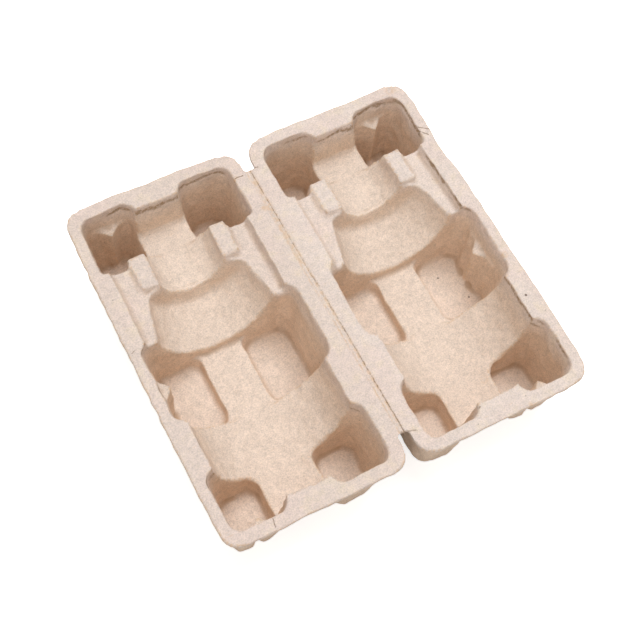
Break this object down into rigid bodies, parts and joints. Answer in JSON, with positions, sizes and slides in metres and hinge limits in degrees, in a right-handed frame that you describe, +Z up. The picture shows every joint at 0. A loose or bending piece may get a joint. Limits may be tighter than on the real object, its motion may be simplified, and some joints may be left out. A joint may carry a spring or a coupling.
{
  "type": "pulp bottle shipper insert",
  "caption": "Moulded pulp clamshell insert: two hinged trays with seats for the body, collar and neck of one bottle, and deep wells as crush space.",
  "frame": {"origin": "middle of the open pack on the surface that it lies on", "axes": "+X across the pack from the fold towards the lid tray, +Y along it towards the cap end, +Z up out of the trays"},
  "size_m": [0.189, 0.184, 0.045],
  "materials": {
    "pulp": "matte fibrous moulded pulp"
  },
  "bodies": {
    "base": {"base_tray": "pulp"},
    "lid": {"lid_tray": "pulp"}
  },
  "joints": [
    {"name": "fold", "type": "hinge", "parent": "base", "child": "lid", "pos_m": [0, 0, 0.04515], "axis": [0, -1, 0], "range_deg": [0, 180]}
  ]
}
